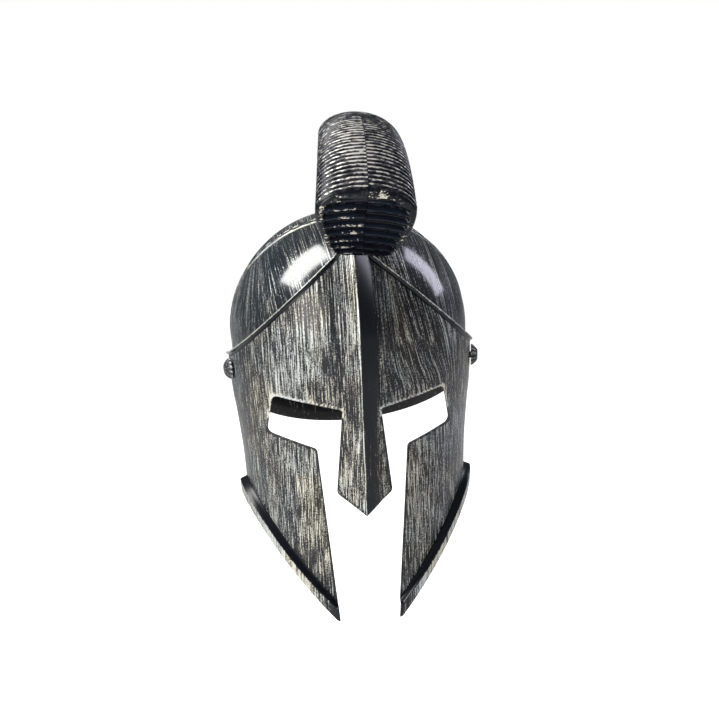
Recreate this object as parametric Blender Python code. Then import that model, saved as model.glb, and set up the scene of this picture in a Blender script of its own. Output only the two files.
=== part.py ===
# Costume helmet in moulded plastic: a domed bowl, a riveted face plate and a ribbed crest in two halves.
# Metres. The front looks along -Y, the top is +Z, and the origin is the inside of the bowl's crown.
# Heights called h are measured from the dome's centre, reaches from the dome's upright axis.
import bpy
import bmesh
from math import acos, asin, cos, pi, radians, sin, sqrt
from mathutils import Matrix, Vector

# fits
GAP = 0.0003             # between pieces that touch
RUNNING_GAP = 0.0014     # between the bowl and the face plate that swings over it
HOLE_CLEARANCE = 0.0003  # round a rivet's shank

# bowl
BOWL_HALF_WIDTH = 0.0926
BOWL_FRONT = 0.0940
BOWL_REAR = 0.1120
BOWL_WALL = 0.0020
RIM_DROP = 0.0385        # rim below the dome's centre, at the sides
RIM_SLOPE = 0.50         # the rim falls towards the nape
RIM_FLARE = 0.0042
RIM_FLARE_HEIGHT = 0.0080
FLARE_START = 0.012      # behind the dome's axis
FLARE_RUN = 0.028
FACE_OVERLAP = 0.025     # the face plate's brow laps the bowl by this height
BOWL_COLUMNS = 36
BOWL_ROWS = 12

# face plate
FACE_WALL = 0.0020
FACE_DROP = 0.2150       # cheek tips below the dome's centre
REAR_EDGE_AHEAD = 0.0060
BROW_PEAK = 0.0696
BROW_END_DROP = 0.0141   # the brow's ends below the dome's centre
BROW_LIP_PROUD = 0.0022
BROW_LIP_HEIGHT = 0.0036
KEEL_HALF_WIDTH = 0.0130
KEEL_BROW_PROUD = 0.0095
KEEL_NOSE_PROUD = 0.0065
CHEEK_REAR_X = 0.0868
CHEEK_REAR_DROP = 0.1240
CHEEK_TIP_X = 0.0222
CHEEK_BULGE = 0.0050
FLANGE_PROUD = 0.0054
FLANGE_HEIGHT = 0.0100
FLANGE_STEP = 0.0030
FACE_KEEL_COLUMNS = 2
FACE_SIDE_COLUMNS = 11
FACE_ROWS = 18
CORNER_SEGMENTS = 3
PROBE = 0.002            # step along the shell to find its slope

# openings in the face plate, seen from the front
EYE_OUTER_X = 0.0640
EYE_OUTER_DROP = 0.0420
EYE_INNER_X = 0.0142
EYE_INNER_DROP = 0.0530
EYE_FLOOR_X = 0.0688
EYE_FLOOR_DROP = 0.0704
NOSE_X = 0.0206
NOSE_DROP = 0.1156
NOSE_TIP_DROP = 0.1320
CHEEK_TOP_X = 0.0334
CHEEK_TOP_DROP = 0.0820
EYE_CORNER_RADIUS = 0.0042
SMALL_CORNER_RADIUS = 0.0020

# rivets
RIVET_AHEAD = 0.0180     # of the dome's axis
RIVET_BELOW_BROW = 0.0119
HEAD_RADIUS = 0.0085
HEAD_TOP_RADIUS = 0.0026
HEAD_HEIGHT = 0.0055
HEAD_FLUTES = 13
HEAD_FLUTE_DEPTH = 0.0010
SHANK_RADIUS = 0.0025
CLENCH_RADIUS = 0.0048
CLENCH_THICKNESS = 0.0014
SHANK_SIDES = 16

# crest
CREST_LEAN = radians(4.9)
CREST_RISE = 0.0749      # above the dome's top
CREST_FORE = 0.1633      # fore semi-axis of the outer arc
CREST_AFT = 0.1680
CREST_FRONT_ANGLE = radians(50.9)
CREST_LIP_ANGLE = radians(60.9)
CREST_REAR_ANGLE = radians(-60.0)
CREST_HALF_WIDTH = 0.0360
CREST_FOOT_HALF_WIDTH = 0.0225
CREST_TAPER = 0.43       # share of its width that the crest loses from the front to the rear
CREST_CROWN = 0.0183     # height of the rounded top of its section
CREST_WALL = 0.0020
CREST_SEAM_GAP = 0.0003
CREST_END_ROUND = 0.0030
CREST_LIP_CLEARANCE = 0.0270
RIB_PITCH = 0.0049
RIB_DEPTH = 0.0012
FAN_START = radians(12.0)
SIDE_STEPS = 3           # of the crest's section, up its side and over its crown
CROWN_STEPS = 4
HOLLOW_SECTIONS = 14
DOME_SIDES = 64

BOWL_RISE = BOWL_HALF_WIDTH - BOWL_WALL
DOME = Vector((0.0, 0.0, -BOWL_RISE))
FACE_INSET = FACE_WALL + RUNNING_GAP
SEAT_GAP = GAP * 1.4         # under the crest's foot
MERGE = GAP / 10.0
FACE_HALF_WIDTH = BOWL_HALF_WIDTH + FACE_INSET
FACE_REACH = BOWL_FRONT + FACE_INSET
REAR_REACH = BOWL_REAR + FACE_INSET
BROW_SLOPE = (BROW_PEAK + BROW_END_DROP) / FACE_HALF_WIDTH
RIVET_DROP = BROW_END_DROP + RIVET_BELOW_BROW
PIVOT = DOME + Vector((0.0, -RIVET_AHEAD, -RIVET_DROP))

# how the sides draw in below the dome's centre: shares of FACE_DROP, FACE_HALF_WIDTH and FACE_REACH,
# and the power of the section, 2 for an ellipse and less for a prow
SIDE_SECTIONS = [
    {"drop": 0.000, "width": 1.000, "reach": 1.000, "power": 2.00},
    {"drop": 0.129, "width": 0.990, "reach": 0.988, "power": 1.90},
    {"drop": 0.217, "width": 0.973, "reach": 0.972, "power": 1.80},
    {"drop": 0.272, "width": 0.955, "reach": 0.962, "power": 1.74},
    {"drop": 0.419, "width": 0.919, "reach": 0.938, "power": 1.66},
    {"drop": 0.590, "width": 0.896, "reach": 0.905, "power": 1.62},
    {"drop": 0.793, "width": 0.838, "reach": 0.864, "power": 1.60},
    {"drop": 1.000, "width": 0.735, "reach": 0.822, "power": 1.60},
]

# underside of the crest: height over the dome as shares of CREST_LIP_CLEARANCE, at shares of the lip's angle
CREST_FOOT = [
    {"angle": -2.00, "lift": -0.30},
    {"angle": 0.46, "lift": -0.30},
    {"angle": 0.56, "lift": 0.12},
    {"angle": 0.70, "lift": 0.52},
    {"angle": 0.83, "lift": 0.76},
    {"angle": 1.00, "lift": 1.00},
]


def clear_scene():
    for item in list(bpy.data.objects):
        bpy.data.objects.remove(item)


def smooth(share):
    share = min(max(share, 0.0), 1.0)
    return share * share * (3.0 - 2.0 * share)


def table_value(rows, key, at, column):
    """Smooth value of a column between the rows of a table."""
    if at <= rows[0][key]:
        return rows[0][column]
    for i in range(len(rows) - 1):
        low, high = rows[i], rows[i + 1]
        if at <= high[key]:
            span = high[key] - low[key]
            before = rows[max(i - 1, 0)]
            after = rows[min(i + 2, len(rows) - 1)]
            slope_low = (high[column] - before[column]) / (high[key] - before[key]) * span
            slope_high = (after[column] - low[column]) / (after[key] - low[key]) * span
            t = (at - low[key]) / span
            return (
                (2 * t**3 - 3 * t**2 + 1) * low[column]
                + (t**3 - 2 * t**2 + t) * slope_low
                + (3 * t**2 - 2 * t**3) * high[column]
                + (t**3 - t**2) * slope_high
            )
    return rows[-1][column]


def side_value(h, column):
    return table_value(SIDE_SECTIONS, "drop", max(-h, 0.0) / FACE_DROP, column)


def ring_share(h, inset):
    """Size of the dome's ring at a height, as a share of its widest ring."""
    return sqrt(max(1.0 - (max(h, 0.0) / (FACE_HALF_WIDTH - inset)) ** 2, 0.0))


def shell_point(theta, h, inset=0.0):
    """Point of the helmet's outer surface, drawn in by inset. Theta is 0 at the front, pi at the back."""
    ring = ring_share(h, inset)
    half = FACE_HALF_WIDTH * side_value(h, "width") - inset
    full_reach = FACE_REACH if cos(theta) >= 0.0 else REAR_REACH
    reach = full_reach * side_value(h, "reach") - inset
    power = side_value(h, "power") if cos(theta) >= 0.0 else 2.0
    side = abs(sin(theta)) ** (2.0 / power)
    x = half * ring * side * (1.0 if theta >= 0.0 else -1.0)
    return DOME + Vector((x, -reach * ring * cos(theta), h))


def outward(point):
    """Direction out of the shell, level below the dome's centre."""
    local = point - DOME
    reach = FACE_REACH if local.y < 0.0 else REAR_REACH
    up = max(local.z, 0.0)
    half = FACE_HALF_WIDTH
    return Vector((local.x / half**2, local.y / reach**2, up / half**2)).normalized()


def crossing(height_over_line, low, high):
    """Where a rising function passes zero, by halving."""
    for _ in range(44):
        middle = (low + high) / 2.0
        if height_over_line(middle) > 0.0:
            high = middle
        else:
            low = middle
    return (low + high) / 2.0


def brow_line(x):
    return BROW_PEAK - BROW_SLOPE * abs(x)


def cheek_line(x):
    """Height of the face plate's lower edge, seen from the front."""
    share = min((CHEEK_REAR_X - abs(x)) / (CHEEK_REAR_X - CHEEK_TIP_X), 1.0)
    straight = -CHEEK_REAR_DROP - (FACE_DROP - CHEEK_REAR_DROP) * share
    return straight - CHEEK_BULGE * 4.0 * share * (1.0 - share)


def turn_outward(bm):
    """Makes the faces of an open sheet of the helmet's shell look outward."""
    bmesh.ops.recalc_face_normals(bm, faces=bm.faces)
    if sum(face.normal.dot(outward(face.calc_center_median())) for face in bm.faces) < 0.0:
        bmesh.ops.reverse_faces(bm, faces=bm.faces)


def new_object(name, bm, smooth_angle=35.0, sheet=False):
    """An object from a finished bmesh, shaded smooth but for its sharp edges."""
    if sheet:
        turn_outward(bm)
    else:
        bmesh.ops.recalc_face_normals(bm, faces=bm.faces)
    mesh = bpy.data.meshes.new(name)
    bm.to_mesh(mesh)
    bm.free()
    mesh.shade_smooth()
    mesh.set_sharp_from_angle(angle=radians(smooth_angle))
    item = bpy.data.objects.new(name, mesh)
    bpy.context.collection.objects.link(item)
    return item


def set_place(item, origin):
    """Moves an object's origin to a point and leaves its surface where it is."""
    item.data.transform(Matrix.Translation(-origin))
    item.location = origin


def paint(item, colour, roughness, metallic):
    material = bpy.data.materials.new(item.name)
    material.use_nodes = True
    shader = material.node_tree.nodes["Principled BSDF"]
    shader.inputs["Base Color"].default_value = (*colour, 1.0)
    shader.inputs["Roughness"].default_value = roughness
    shader.inputs["Metallic"].default_value = metallic
    item.data.materials.append(material)


def add_wall(item, thickness):
    wall = item.modifiers.new("wall", "SOLIDIFY")
    wall.thickness = thickness
    wall.offset = -1.0
    wall.use_even_offset = True


def add_boolean(item, other, operation):
    """Cuts or joins with another object, which is kept as a guide only."""
    other.hide_render = True
    other.display_type = "WIRE"
    step = item.modifiers.new(other.name, "BOOLEAN")
    step.operation = operation
    step.object = other
    step.solver = "EXACT"


def shaped_grid(columns, rows, place):
    """A grid of columns by rows whose points are put where place(column, row) says."""
    bm = bmesh.new()
    bmesh.ops.create_grid(bm, x_segments=columns, y_segments=rows, size=1.0)
    for vert in bm.verts:
        column = round((vert.co.x + 1.0) / 2.0 * columns)
        row = round((vert.co.y + 1.0) / 2.0 * rows)
        vert.co = place(column, row)
    return bm


def bowl_edge(point):
    """Height of the bowl's edge at a point: the rim behind, the hidden cut under the brow in front."""
    local = point - DOME
    rim = -RIM_DROP - RIM_SLOPE * max(local.y, 0.0)
    if local.y > 0.0:
        return rim
    return max(rim, brow_line(local.x) - FACE_OVERLAP)


def bowl_point(theta, length):
    """Point at a length along the bowl's surface, down from the crown."""
    quarter = BOWL_HALF_WIDTH * pi / 2.0
    if length < quarter:
        h = BOWL_HALF_WIDTH * cos(length / BOWL_HALF_WIDTH)
    else:
        h = quarter - length
    return shell_point(theta, h, FACE_INSET)


def bowl_place(column, row):
    theta = -pi + 2.0 * pi * column / BOWL_COLUMNS

    def past_edge(length):
        point = bowl_point(theta, length)
        return bowl_edge(point) - (point - DOME).z

    full = crossing(past_edge, 0.001, BOWL_HALF_WIDTH * pi / 2.0 + FACE_DROP / 2.0)
    if row == 0:
        length = full
    else:
        length = (full - RIM_FLARE_HEIGHT) * (BOWL_ROWS - row) / (BOWL_ROWS - 1)
    point = bowl_point(theta, length)
    if row == 0:
        behind = (point.y - DOME.y - FLARE_START) / FLARE_RUN
        point += outward(point) * RIM_FLARE * smooth(behind)
    return point


def make_bowl():
    bm = shaped_grid(BOWL_COLUMNS, BOWL_ROWS, bowl_place)
    bmesh.ops.remove_doubles(bm, verts=bm.verts, dist=MERGE)
    bowl = new_object("bowl", bm, sheet=True)
    add_wall(bowl, BOWL_WALL)
    paint(bowl, (0.10, 0.11, 0.125), 0.32, 0.35)
    return bowl


def keel_proud(x, h):
    """Height of the sharp centre keel over the shell."""
    down = min(max(-h, 0.0) / NOSE_TIP_DROP, 1.0)
    ridge = KEEL_BROW_PROUD + (KEEL_NOSE_PROUD - KEEL_BROW_PROUD) * down
    return ridge * max(1.0 - abs(x) / KEEL_HALF_WIDTH, 0.0)


def face_theta(column, h):
    """Angle of a column of the face plate at a height. The innermost columns follow the keel."""
    side = column - FACE_KEEL_COLUMNS - FACE_SIDE_COLUMNS
    half = FACE_HALF_WIDTH * side_value(h, "width") * ring_share(h, 0.0)
    reach = FACE_REACH * side_value(h, "reach") * ring_share(h, 0.0)
    power = side_value(h, "power") / 2.0
    count = abs(side)
    keel_x = KEEL_HALF_WIDTH * min(count / FACE_KEEL_COLUMNS, 1.0)
    theta = asin(min(keel_x / half, 1.0) ** power)
    if count > FACE_KEEL_COLUMNS:
        rear = acos(min(REAR_EDGE_AHEAD / reach, 1.0))
        theta += (rear - theta) * (count - FACE_KEEL_COLUMNS) / FACE_SIDE_COLUMNS
    return theta if side >= 0 else -theta


def face_place(column, row):
    def over(line):
        return lambda h: h - line(shell_point(face_theta(column, h), h).x)

    top = crossing(over(brow_line), -FACE_DROP, (BROW_PEAK + FACE_HALF_WIDTH) / 2.0)
    bottom = crossing(over(cheek_line), -FACE_DROP - FLANGE_HEIGHT, 0.0)
    inner_top = top - BROW_LIP_HEIGHT
    inner_bottom = bottom + FLANGE_HEIGHT + FLANGE_STEP
    last = FACE_ROWS
    share = (row - 2) / (last - 3)
    heights = {0: bottom, 1: bottom + FLANGE_HEIGHT, last: top}
    h = heights.get(row, inner_bottom + (inner_top - inner_bottom) * share)
    theta = face_theta(column, h)
    point = shell_point(theta, h)
    proud = keel_proud(point.x, h)
    if row == last:
        proud += BROW_LIP_PROUD
    if row <= 1:
        proud += FLANGE_PROUD
    return point + outward(point) * proud


def rounded_prism(name, corners, front, back):
    """A prism along Y from corners given as x, height and corner radius."""
    bm = bmesh.new()
    verts = [bm.verts.new(DOME + Vector((x, front, h))) for x, h, radius in corners]
    bm.faces.new(verts)
    for radius in (EYE_CORNER_RADIUS, SMALL_CORNER_RADIUS):
        chosen = [vert for vert, corner in zip(verts, corners) if corner[2] == radius]
        bmesh.ops.bevel(
            bm, geom=chosen, offset=radius, offset_type="OFFSET", segments=CORNER_SEGMENTS, profile=0.5,
            affect="VERTICES",
        )
    side = bmesh.ops.extrude_face_region(bm, geom=list(bm.faces))
    moved = [item for item in side["geom"] if isinstance(item, bmesh.types.BMVert)]
    bmesh.ops.translate(bm, verts=moved, vec=(0.0, back - front, 0.0))
    return new_object(name, bm)


def make_face_cutter():
    below = -FACE_DROP - FLANGE_HEIGHT
    run_out = (CHEEK_TOP_X - CHEEK_TIP_X) / (FACE_DROP - CHEEK_TOP_DROP)
    half = [
        (EYE_INNER_X, -EYE_INNER_DROP, SMALL_CORNER_RADIUS),
        (EYE_OUTER_X, -EYE_OUTER_DROP, EYE_CORNER_RADIUS),
        (EYE_FLOOR_X, -EYE_FLOOR_DROP, EYE_CORNER_RADIUS),
        (CHEEK_TOP_X, -CHEEK_TOP_DROP, SMALL_CORNER_RADIUS),
        (CHEEK_TIP_X - run_out * FLANGE_HEIGHT, below, 0.0),
    ]
    nose = [(NOSE_X, -NOSE_DROP, SMALL_CORNER_RADIUS)]
    right = nose + half
    left = [(-x, h, radius) for x, h, radius in reversed(right)]
    corners = [(0.0, -NOSE_TIP_DROP, 0.0)] + right + left
    return rounded_prism("face_cutter", corners, -FACE_REACH * 1.5, 0.0)


def make_face_plate(openings, rivet_hole):
    columns = 2 * (FACE_KEEL_COLUMNS + FACE_SIDE_COLUMNS)
    bm = shaped_grid(columns, FACE_ROWS, face_place)
    face = new_object("face_plate", bm, smooth_angle=28.0, sheet=True)
    add_wall(face, FACE_WALL)
    add_boolean(face, openings, "DIFFERENCE")
    add_boolean(face, rivet_hole, "DIFFERENCE")
    paint(face, (0.20, 0.20, 0.205), 0.36, 0.45)
    return face


def pivot_theta(inset):
    """Angle at which the shell passes the rivets' line."""
    reach = FACE_REACH * side_value(-RIVET_DROP, "reach") - inset
    return acos(RIVET_AHEAD / reach)


def make_rivet_hole():
    bm = bmesh.new()
    bmesh.ops.create_cone(
        bm, cap_ends=True, segments=SHANK_SIDES, radius1=SHANK_RADIUS + HOLE_CLEARANCE,
        radius2=SHANK_RADIUS + HOLE_CLEARANCE, depth=FACE_HALF_WIDTH * 3.0,
        matrix=Matrix.Rotation(pi / 2.0, 4, "Y"),
    )
    bmesh.ops.translate(bm, verts=bm.verts, vec=PIVOT)
    return new_object("rivet_hole", bm)


def face_frame():
    """Seat of the left rivet's head: a turn whose Z leaves the face plate, and the point under its middle."""
    theta = pivot_theta(0.0)
    seat = shell_point(theta, -RIVET_DROP)
    along = shell_point(theta + PROBE / FACE_REACH, -RIVET_DROP) - seat
    up = shell_point(theta, -RIVET_DROP + PROBE) - seat
    normal = along.cross(up).normalized()
    if normal.x < 0.0:
        normal.negate()
    return normal.to_track_quat("Z", "Y").to_matrix().to_4x4(), seat, normal


def clench_x():
    """How far out the bowl's inner face lets the clench disc sit."""
    lowest = FACE_HALF_WIDTH
    for turn in range(12):
        angle = 2.0 * pi * turn / 12.0
        h = -RIVET_DROP + CLENCH_RADIUS * sin(angle)
        ahead = RIVET_AHEAD + CLENCH_RADIUS * cos(angle)
        reach = FACE_REACH * side_value(h, "reach") - FACE_INSET
        point = shell_point(acos(ahead / reach), h, FACE_INSET)
        lowest = min(lowest, point.x)
    return lowest - BOWL_WALL - 3.0 * GAP


def make_rivet(name, mirror):
    turn, seat, normal = face_frame()
    bm = bmesh.new()
    head = bmesh.ops.create_cone(
        bm, cap_ends=True, segments=2 * HEAD_FLUTES, radius1=HEAD_RADIUS, radius2=HEAD_TOP_RADIUS,
        depth=HEAD_HEIGHT,
    )
    rim = [vert for vert in head["verts"] if vert.co.z < 0.0]
    rim.sort(key=lambda vert: Vector((1.0, 0.0)).angle_signed(Vector((vert.co.x, vert.co.y))))
    for vert in rim[::2]:
        vert.co.xy *= 1.0 - HEAD_FLUTE_DEPTH / HEAD_RADIUS
    lift = GAP + HEAD_HEIGHT / 2.0 + (HEAD_RADIUS**2) / (2.0 * FACE_HALF_WIDTH)
    bmesh.ops.transform(bm, matrix=turn, verts=bm.verts)
    bmesh.ops.translate(bm, verts=bm.verts, vec=seat + normal * lift)
    rivet = new_object(name, bm, smooth_angle=20.0)

    inner = clench_x()
    start = inner - CLENCH_THICKNESS
    end = seat.x + HEAD_HEIGHT / 2.0
    profile = [(start, 0.0), (start, CLENCH_RADIUS), (inner, CLENCH_RADIUS), (inner, SHANK_RADIUS),
               (end, SHANK_RADIUS), (end, 0.0)]
    bm = bmesh.new()
    verts = [bm.verts.new(PIVOT + Vector((x, 0.0, radius))) for x, radius in profile]
    edges = [bm.edges.new((a, b)) for a, b in zip(verts, verts[1:])]
    bmesh.ops.spin(
        bm, geom=verts + edges, cent=PIVOT, axis=(1.0, 0.0, 0.0), dvec=(0.0, 0.0, 0.0), angle=2.0 * pi,
        steps=SHANK_SIDES, use_merge=True,
    )
    bmesh.ops.remove_doubles(bm, verts=bm.verts, dist=MERGE)
    shank = new_object(name + "_shank", bm)

    if mirror:
        flip = Matrix.Scale(-1.0, 4, (1.0, 0.0, 0.0))
        for item in (rivet, shank):
            item.data.transform(flip)
            item.data.flip_normals()
    add_boolean(rivet, shank, "UNION")
    paint(rivet, (0.055, 0.058, 0.065), 0.30, 0.40)
    for item in (rivet, shank):
        set_place(item, PIVOT)
    return rivet


def dome_radius(angle):
    """Radius of the bowl in the crest's plane. The angle is from straight up, forward positive."""
    reach = BOWL_FRONT if angle > 0.0 else BOWL_REAR
    return 1.0 / sqrt((sin(angle) / reach) ** 2 + (cos(angle) / BOWL_HALF_WIDTH) ** 2)


def crest_outer(angle):
    reach = CREST_FORE if angle > 0.0 else CREST_AFT
    top = BOWL_HALF_WIDTH + CREST_RISE
    return 1.0 / sqrt((sin(angle) / reach) ** 2 + (cos(angle) / top) ** 2)


def in_plane(radius, angle):
    return Vector((radius * sin(angle), radius * cos(angle)))


def crest_line(angle, inset):
    """Foot and top of one section of the crest, as forward and up in the crest's own plane."""
    fan = smooth((angle - FAN_START) / (CREST_FRONT_ANGLE - FAN_START))
    foot_angle = angle + (CREST_LIP_ANGLE - CREST_FRONT_ANGLE) * fan
    lift = table_value(CREST_FOOT, "angle", foot_angle / CREST_LIP_ANGLE, "lift") * CREST_LIP_CLEARANCE
    if inset > 0.0:
        lift = max(lift, GAP * 2.0)
    foot = in_plane(dome_radius(foot_angle) + lift + inset, foot_angle)
    top = in_plane(crest_outer(angle) - inset, angle)
    return foot, top


def crest_share(angle):
    """Width of the crest at an angle, as a share of its width in front."""
    behind = (CREST_FRONT_ANGLE - angle) / (CREST_FRONT_ANGLE - CREST_REAR_ANGLE)
    return 1.0 - CREST_TAPER * behind


def crest_profile(foot, top, share, inset, seam, groove):
    """Half section of the crest from the seam at the foot, out, up and back to the seam at the top."""
    height = (top - foot).length
    half = CREST_HALF_WIDTH * share - inset
    narrow = CREST_FOOT_HALF_WIDTH * share - inset
    crown = min(CREST_CROWN, height / 2.0)
    shoulder = height - crown
    points = [(seam, 0.0)]
    for step in range(SIDE_STEPS + 1):
        risen = step / SIDE_STEPS
        width = narrow + (half - narrow) * sin(pi / 2.0 * risen)
        points.append((width - groove * risen, shoulder * risen))
    for step in range(1, CROWN_STEPS + 1):
        angle = pi / 2.0 * step / CROWN_STEPS
        width = max((half - groove) * cos(angle), seam)
        points.append((width, shoulder + (crown - groove) * sin(angle)))
    return points


def crest_point(side, across, forward_up):
    """From the crest's leaning plane to the helmet's frame."""
    level = Vector((cos(CREST_LEAN), 0.0, -sin(CREST_LEAN)))
    upright = Vector((sin(CREST_LEAN), 0.0, cos(CREST_LEAN)))
    return DOME + level * across * side + upright * forward_up.y + Vector((0.0, -forward_up.x, 0.0))


def crest_sections(inset):
    """Angle, groove depth and end shrink of each section, from the rear end to the front."""
    if inset > 0.0:
        ends = inset / CREST_FORE
        first, last = CREST_REAR_ANGLE + ends, CREST_FRONT_ANGLE - ends
        step = (last - first) / HOLLOW_SECTIONS
        return [(first + step * i, 0.0, 0.0) for i in range(HOLLOW_SECTIONS + 1)]
    pitch = RIB_PITCH / (BOWL_HALF_WIDTH + CREST_RISE)
    ribs = round((CREST_FRONT_ANGLE - CREST_REAR_ANGLE) / pitch)
    rows = []
    for i in range(2 * ribs + 1):
        angle = CREST_REAR_ANGLE + (CREST_FRONT_ANGLE - CREST_REAR_ANGLE) * i / (2 * ribs)
        at_end = i in (0, 2 * ribs)
        rows.append((angle, RIB_DEPTH * (i % 2), CREST_END_ROUND if at_end else 0.0))
    return rows


def crest_body(name, side, inset, seam):
    sections = crest_sections(inset)

    def place(column, row):
        angle, groove, shrink = sections[column]
        foot, top = crest_line(angle, inset)
        share = crest_share(angle)
        points = crest_profile(foot, top, share, inset, seam, max(groove, shrink))
        across, height = points[row]
        return crest_point(side, across, foot + (top - foot).normalized() * height)

    bm = shaped_grid(len(sections) - 1, SIDE_STEPS + CROWN_STEPS + 1, place)
    bmesh.ops.remove_doubles(bm, verts=bm.verts, dist=MERGE)
    ends = [edge for edge in bm.edges if edge.is_boundary]
    columns = [[], []]
    for edge in ends:
        for which, index in ((0, 0), (1, len(sections) - 1)):
            if all(near_section(vert.co, sections[index], inset, seam, side) for vert in edge.verts):
                columns[which].append(edge)
    for edges in columns:
        close_end(bm, edges)
    bmesh.ops.holes_fill(bm, edges=[edge for edge in bm.edges if edge.is_boundary], sides=0)
    return new_object(name, bm, smooth_angle=30.0)


def near_section(point, section, inset, seam, side):
    """Whether a point lies in the plane of one section of the crest."""
    foot, top = crest_line(section[0], inset)
    a = crest_point(side, 0.0, foot)
    b = crest_point(side, 0.0, top)
    c = crest_point(side, CREST_HALF_WIDTH, foot)
    normal = (b - a).cross(c - a).normalized()
    return abs((point - a).dot(normal)) < MERGE


def close_end(bm, edges):
    """Closes one end section along the seam."""
    counts = {}
    for edge in edges:
        for vert in edge.verts:
            counts[vert] = counts.get(vert, 0) + 1
    ends = [vert for vert, count in counts.items() if count == 1]
    seam = bm.edges.new(ends)
    bmesh.ops.edgeloop_fill(bm, edges=edges + [seam])


def make_seat_cutter():
    """The dome with a touching gap, which shapes the crest's foot."""
    bm = bmesh.new()
    radius = BOWL_HALF_WIDTH + SEAT_GAP
    bmesh.ops.create_uvsphere(bm, u_segments=DOME_SIDES, v_segments=DOME_SIDES // 2, radius=radius)
    for vert in bm.verts:
        reach = BOWL_FRONT if vert.co.y < 0.0 else BOWL_REAR
        vert.co.y *= (reach + SEAT_GAP) / radius
    bmesh.ops.translate(bm, verts=bm.verts, vec=DOME)
    return new_object("seat_cutter", bm)


def make_crest_shell(name, side, seat):
    shell = crest_body(name, side, 0.0, CREST_SEAM_GAP / 2.0)
    hollow = crest_body(name + "_hollow", side, CREST_WALL, -CREST_WALL)
    add_boolean(shell, hollow, "DIFFERENCE")
    add_boolean(shell, seat, "DIFFERENCE")
    paint(shell, (0.045, 0.05, 0.06), 0.34, 0.35)
    return shell


def main():
    clear_scene()
    rivet_hole = make_rivet_hole()
    bowl = make_bowl()
    add_boolean(bowl, rivet_hole, "DIFFERENCE")
    make_face_plate(make_face_cutter(), rivet_hole)
    make_rivet("rivet_left", False)
    make_rivet("rivet_right", True)
    seat = make_seat_cutter()
    make_crest_shell("crest_shell_left", 1.0, seat)
    make_crest_shell("crest_shell_right", -1.0, seat)


main()
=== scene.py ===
import bpy
import bmesh
from math import acos, asin, atan2, cos, exp, hypot, pi, radians, sin, sqrt
from mathutils import Matrix, Vector


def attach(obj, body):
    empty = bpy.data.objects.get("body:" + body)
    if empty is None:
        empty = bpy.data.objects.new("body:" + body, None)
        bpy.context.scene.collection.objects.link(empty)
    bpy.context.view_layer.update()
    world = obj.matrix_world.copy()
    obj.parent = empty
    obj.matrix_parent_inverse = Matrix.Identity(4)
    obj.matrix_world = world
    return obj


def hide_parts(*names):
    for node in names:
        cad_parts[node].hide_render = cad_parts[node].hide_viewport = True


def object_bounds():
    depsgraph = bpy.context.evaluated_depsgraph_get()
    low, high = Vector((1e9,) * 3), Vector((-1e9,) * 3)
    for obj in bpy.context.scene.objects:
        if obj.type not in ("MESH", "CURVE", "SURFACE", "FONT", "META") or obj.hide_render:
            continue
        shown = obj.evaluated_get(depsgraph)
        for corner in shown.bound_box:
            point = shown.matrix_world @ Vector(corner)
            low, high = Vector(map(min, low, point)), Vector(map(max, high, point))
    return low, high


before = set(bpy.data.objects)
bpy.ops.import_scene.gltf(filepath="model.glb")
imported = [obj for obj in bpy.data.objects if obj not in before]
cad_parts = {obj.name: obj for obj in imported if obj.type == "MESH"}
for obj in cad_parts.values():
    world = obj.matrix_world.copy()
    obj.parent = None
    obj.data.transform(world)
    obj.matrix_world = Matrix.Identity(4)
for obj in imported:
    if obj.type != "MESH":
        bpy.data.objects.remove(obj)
cadLow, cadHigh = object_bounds()
print("frame loaded")

# the surface that the bowl and the face plate share: metres, heights over the dome's centre
shell = {"halfWidth": 0.0960, "front": 0.0974, "rear": 0.1154, "wall": 0.0020, "bowlInset": 0.0034}
domeCentre = Vector((0.0, 0.0, -0.0906))
drawIn = [
    {"drop": 0.000, "width": 1.000, "reach": 1.000, "power": 2.00},
    {"drop": 0.129, "width": 0.990, "reach": 0.988, "power": 1.90},
    {"drop": 0.217, "width": 0.973, "reach": 0.972, "power": 1.80},
    {"drop": 0.272, "width": 0.955, "reach": 0.962, "power": 1.74},
    {"drop": 0.419, "width": 0.919, "reach": 0.938, "power": 1.66},
    {"drop": 0.590, "width": 0.896, "reach": 0.905, "power": 1.62},
    {"drop": 0.793, "width": 0.838, "reach": 0.864, "power": 1.60},
    {"drop": 1.000, "width": 0.735, "reach": 0.822, "power": 1.60},
]
faceSize = {
    "drop": 0.2150, "tipDrop": -0.2142, "rearAhead": 0.0060, "browPeak": 0.0696, "browEndDrop": 0.0141,
    "beadProud": 0.0022, "beadCentre": 0.0010, "beadHalf": 0.0020, "beadHeight": 0.0036, "beadMargin": 1.5,
    "keelHalf": 0.0130, "keelBrow": 0.0095, "keelNose": 0.0065, "noseTipDrop": 0.1320,
    "cheekRearX": 0.0868, "cheekRearDrop": 0.1240, "cheekTipX": 0.0222, "cheekBulge": 0.0050,
    "flangeProud": 0.0054, "flangeHeight": 0.0100, "flangeStep": 0.0030, "footRound": 0.0006,
    "footRoundHeight": 0.0012, "edgeRound": 0.0004, "roundOver": 62.0, "sharpOver": 40.0,
    "keelColumns": 12, "sideColumns": 76, "rows": 170, "flangeRows": 18, "beadRows": 14,
}
faceOpening = [
    {"x": 0.0206, "h": -0.1156, "radius": 0.0020},
    {"x": 0.0142, "h": -0.0530, "radius": 0.0020},
    {"x": 0.0640, "h": -0.0420, "radius": 0.0042},
    {"x": 0.0688, "h": -0.0704, "radius": 0.0042},
    {"x": 0.0334, "h": -0.0820, "radius": 0.0020},
    {"x": 0.0214, "h": -0.2250, "radius": 0.0},
]
browSlope = (faceSize["browPeak"] + faceSize["browEndDrop"]) / shell["halfWidth"]
rivetPlace = {"ahead": 0.0180, "drop": 0.0260}
pivot = domeCentre + Vector((0.0, -rivetPlace["ahead"], -rivetPlace["drop"]))
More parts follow.
